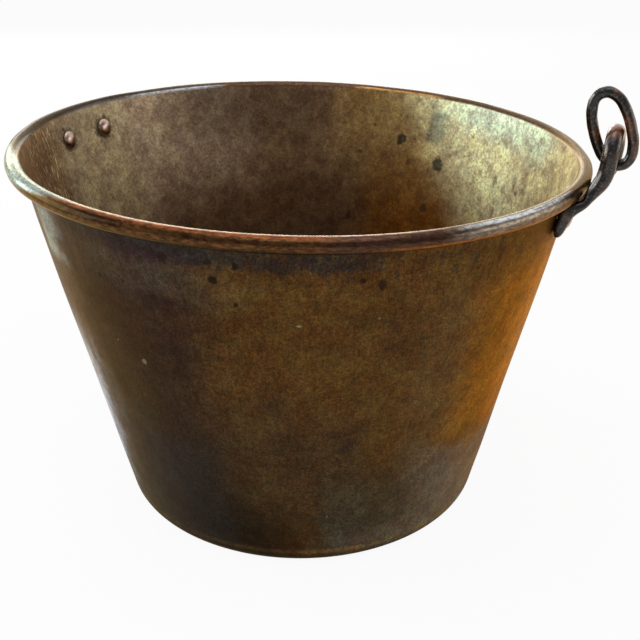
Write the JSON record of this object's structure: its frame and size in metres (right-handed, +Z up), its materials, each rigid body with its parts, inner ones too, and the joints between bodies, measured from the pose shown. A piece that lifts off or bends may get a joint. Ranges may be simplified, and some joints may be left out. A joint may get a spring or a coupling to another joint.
{
  "type": "brass cauldron",
  "caption": "Tapering brass cauldron with a rolled rim, riveted iron lugs and a loose iron link in the eye of each lug.",
  "frame": {"origin": "middle of the pan's flat underside", "axes": "+Z up through the mouth, +X towards the upright lug, Y along both lugs' crowns"},
  "size_m": [0.4281, 0.3598, 0.292],
  "materials": {
    "aged_brass": "aged spun brass, mottled brown and olive, worn bright inside",
    "wire_iron": "drawn iron wire, dull",
    "forged_iron": "hand forged iron, dark with brown rust",
    "rivet_copper": "copper-coloured, hammered dome, worn bright on top"
  },
  "bodies": {
    "cauldron": {"pan": "aged_brass", "rim_wire": "wire_iron", "lug_right": "forged_iron", "lug_left": "forged_iron", "rivet_right_front": "rivet_copper", "rivet_right_back": "rivet_copper", "rivet_left_front": "rivet_copper", "rivet_left_back": "rivet_copper"},
    "link_right": {"link_right": "forged_iron"},
    "link_left": {"link_left": "forged_iron"}
  },
  "joints": [
    {"name": "link_right_swing", "type": "hinge", "parent": "cauldron", "child": "link_right", "pos_m": [0.1905, 0, 0.2673], "axis": [0, 1, 0], "range_deg": [-55, 200]},
    {"name": "link_left_swing", "type": "hinge", "parent": "cauldron", "child": "link_left", "pos_m": [-0.2106, 0, 0.20238], "axis": [0, 1, 0], "range_deg": [-90, 150]}
  ]
}
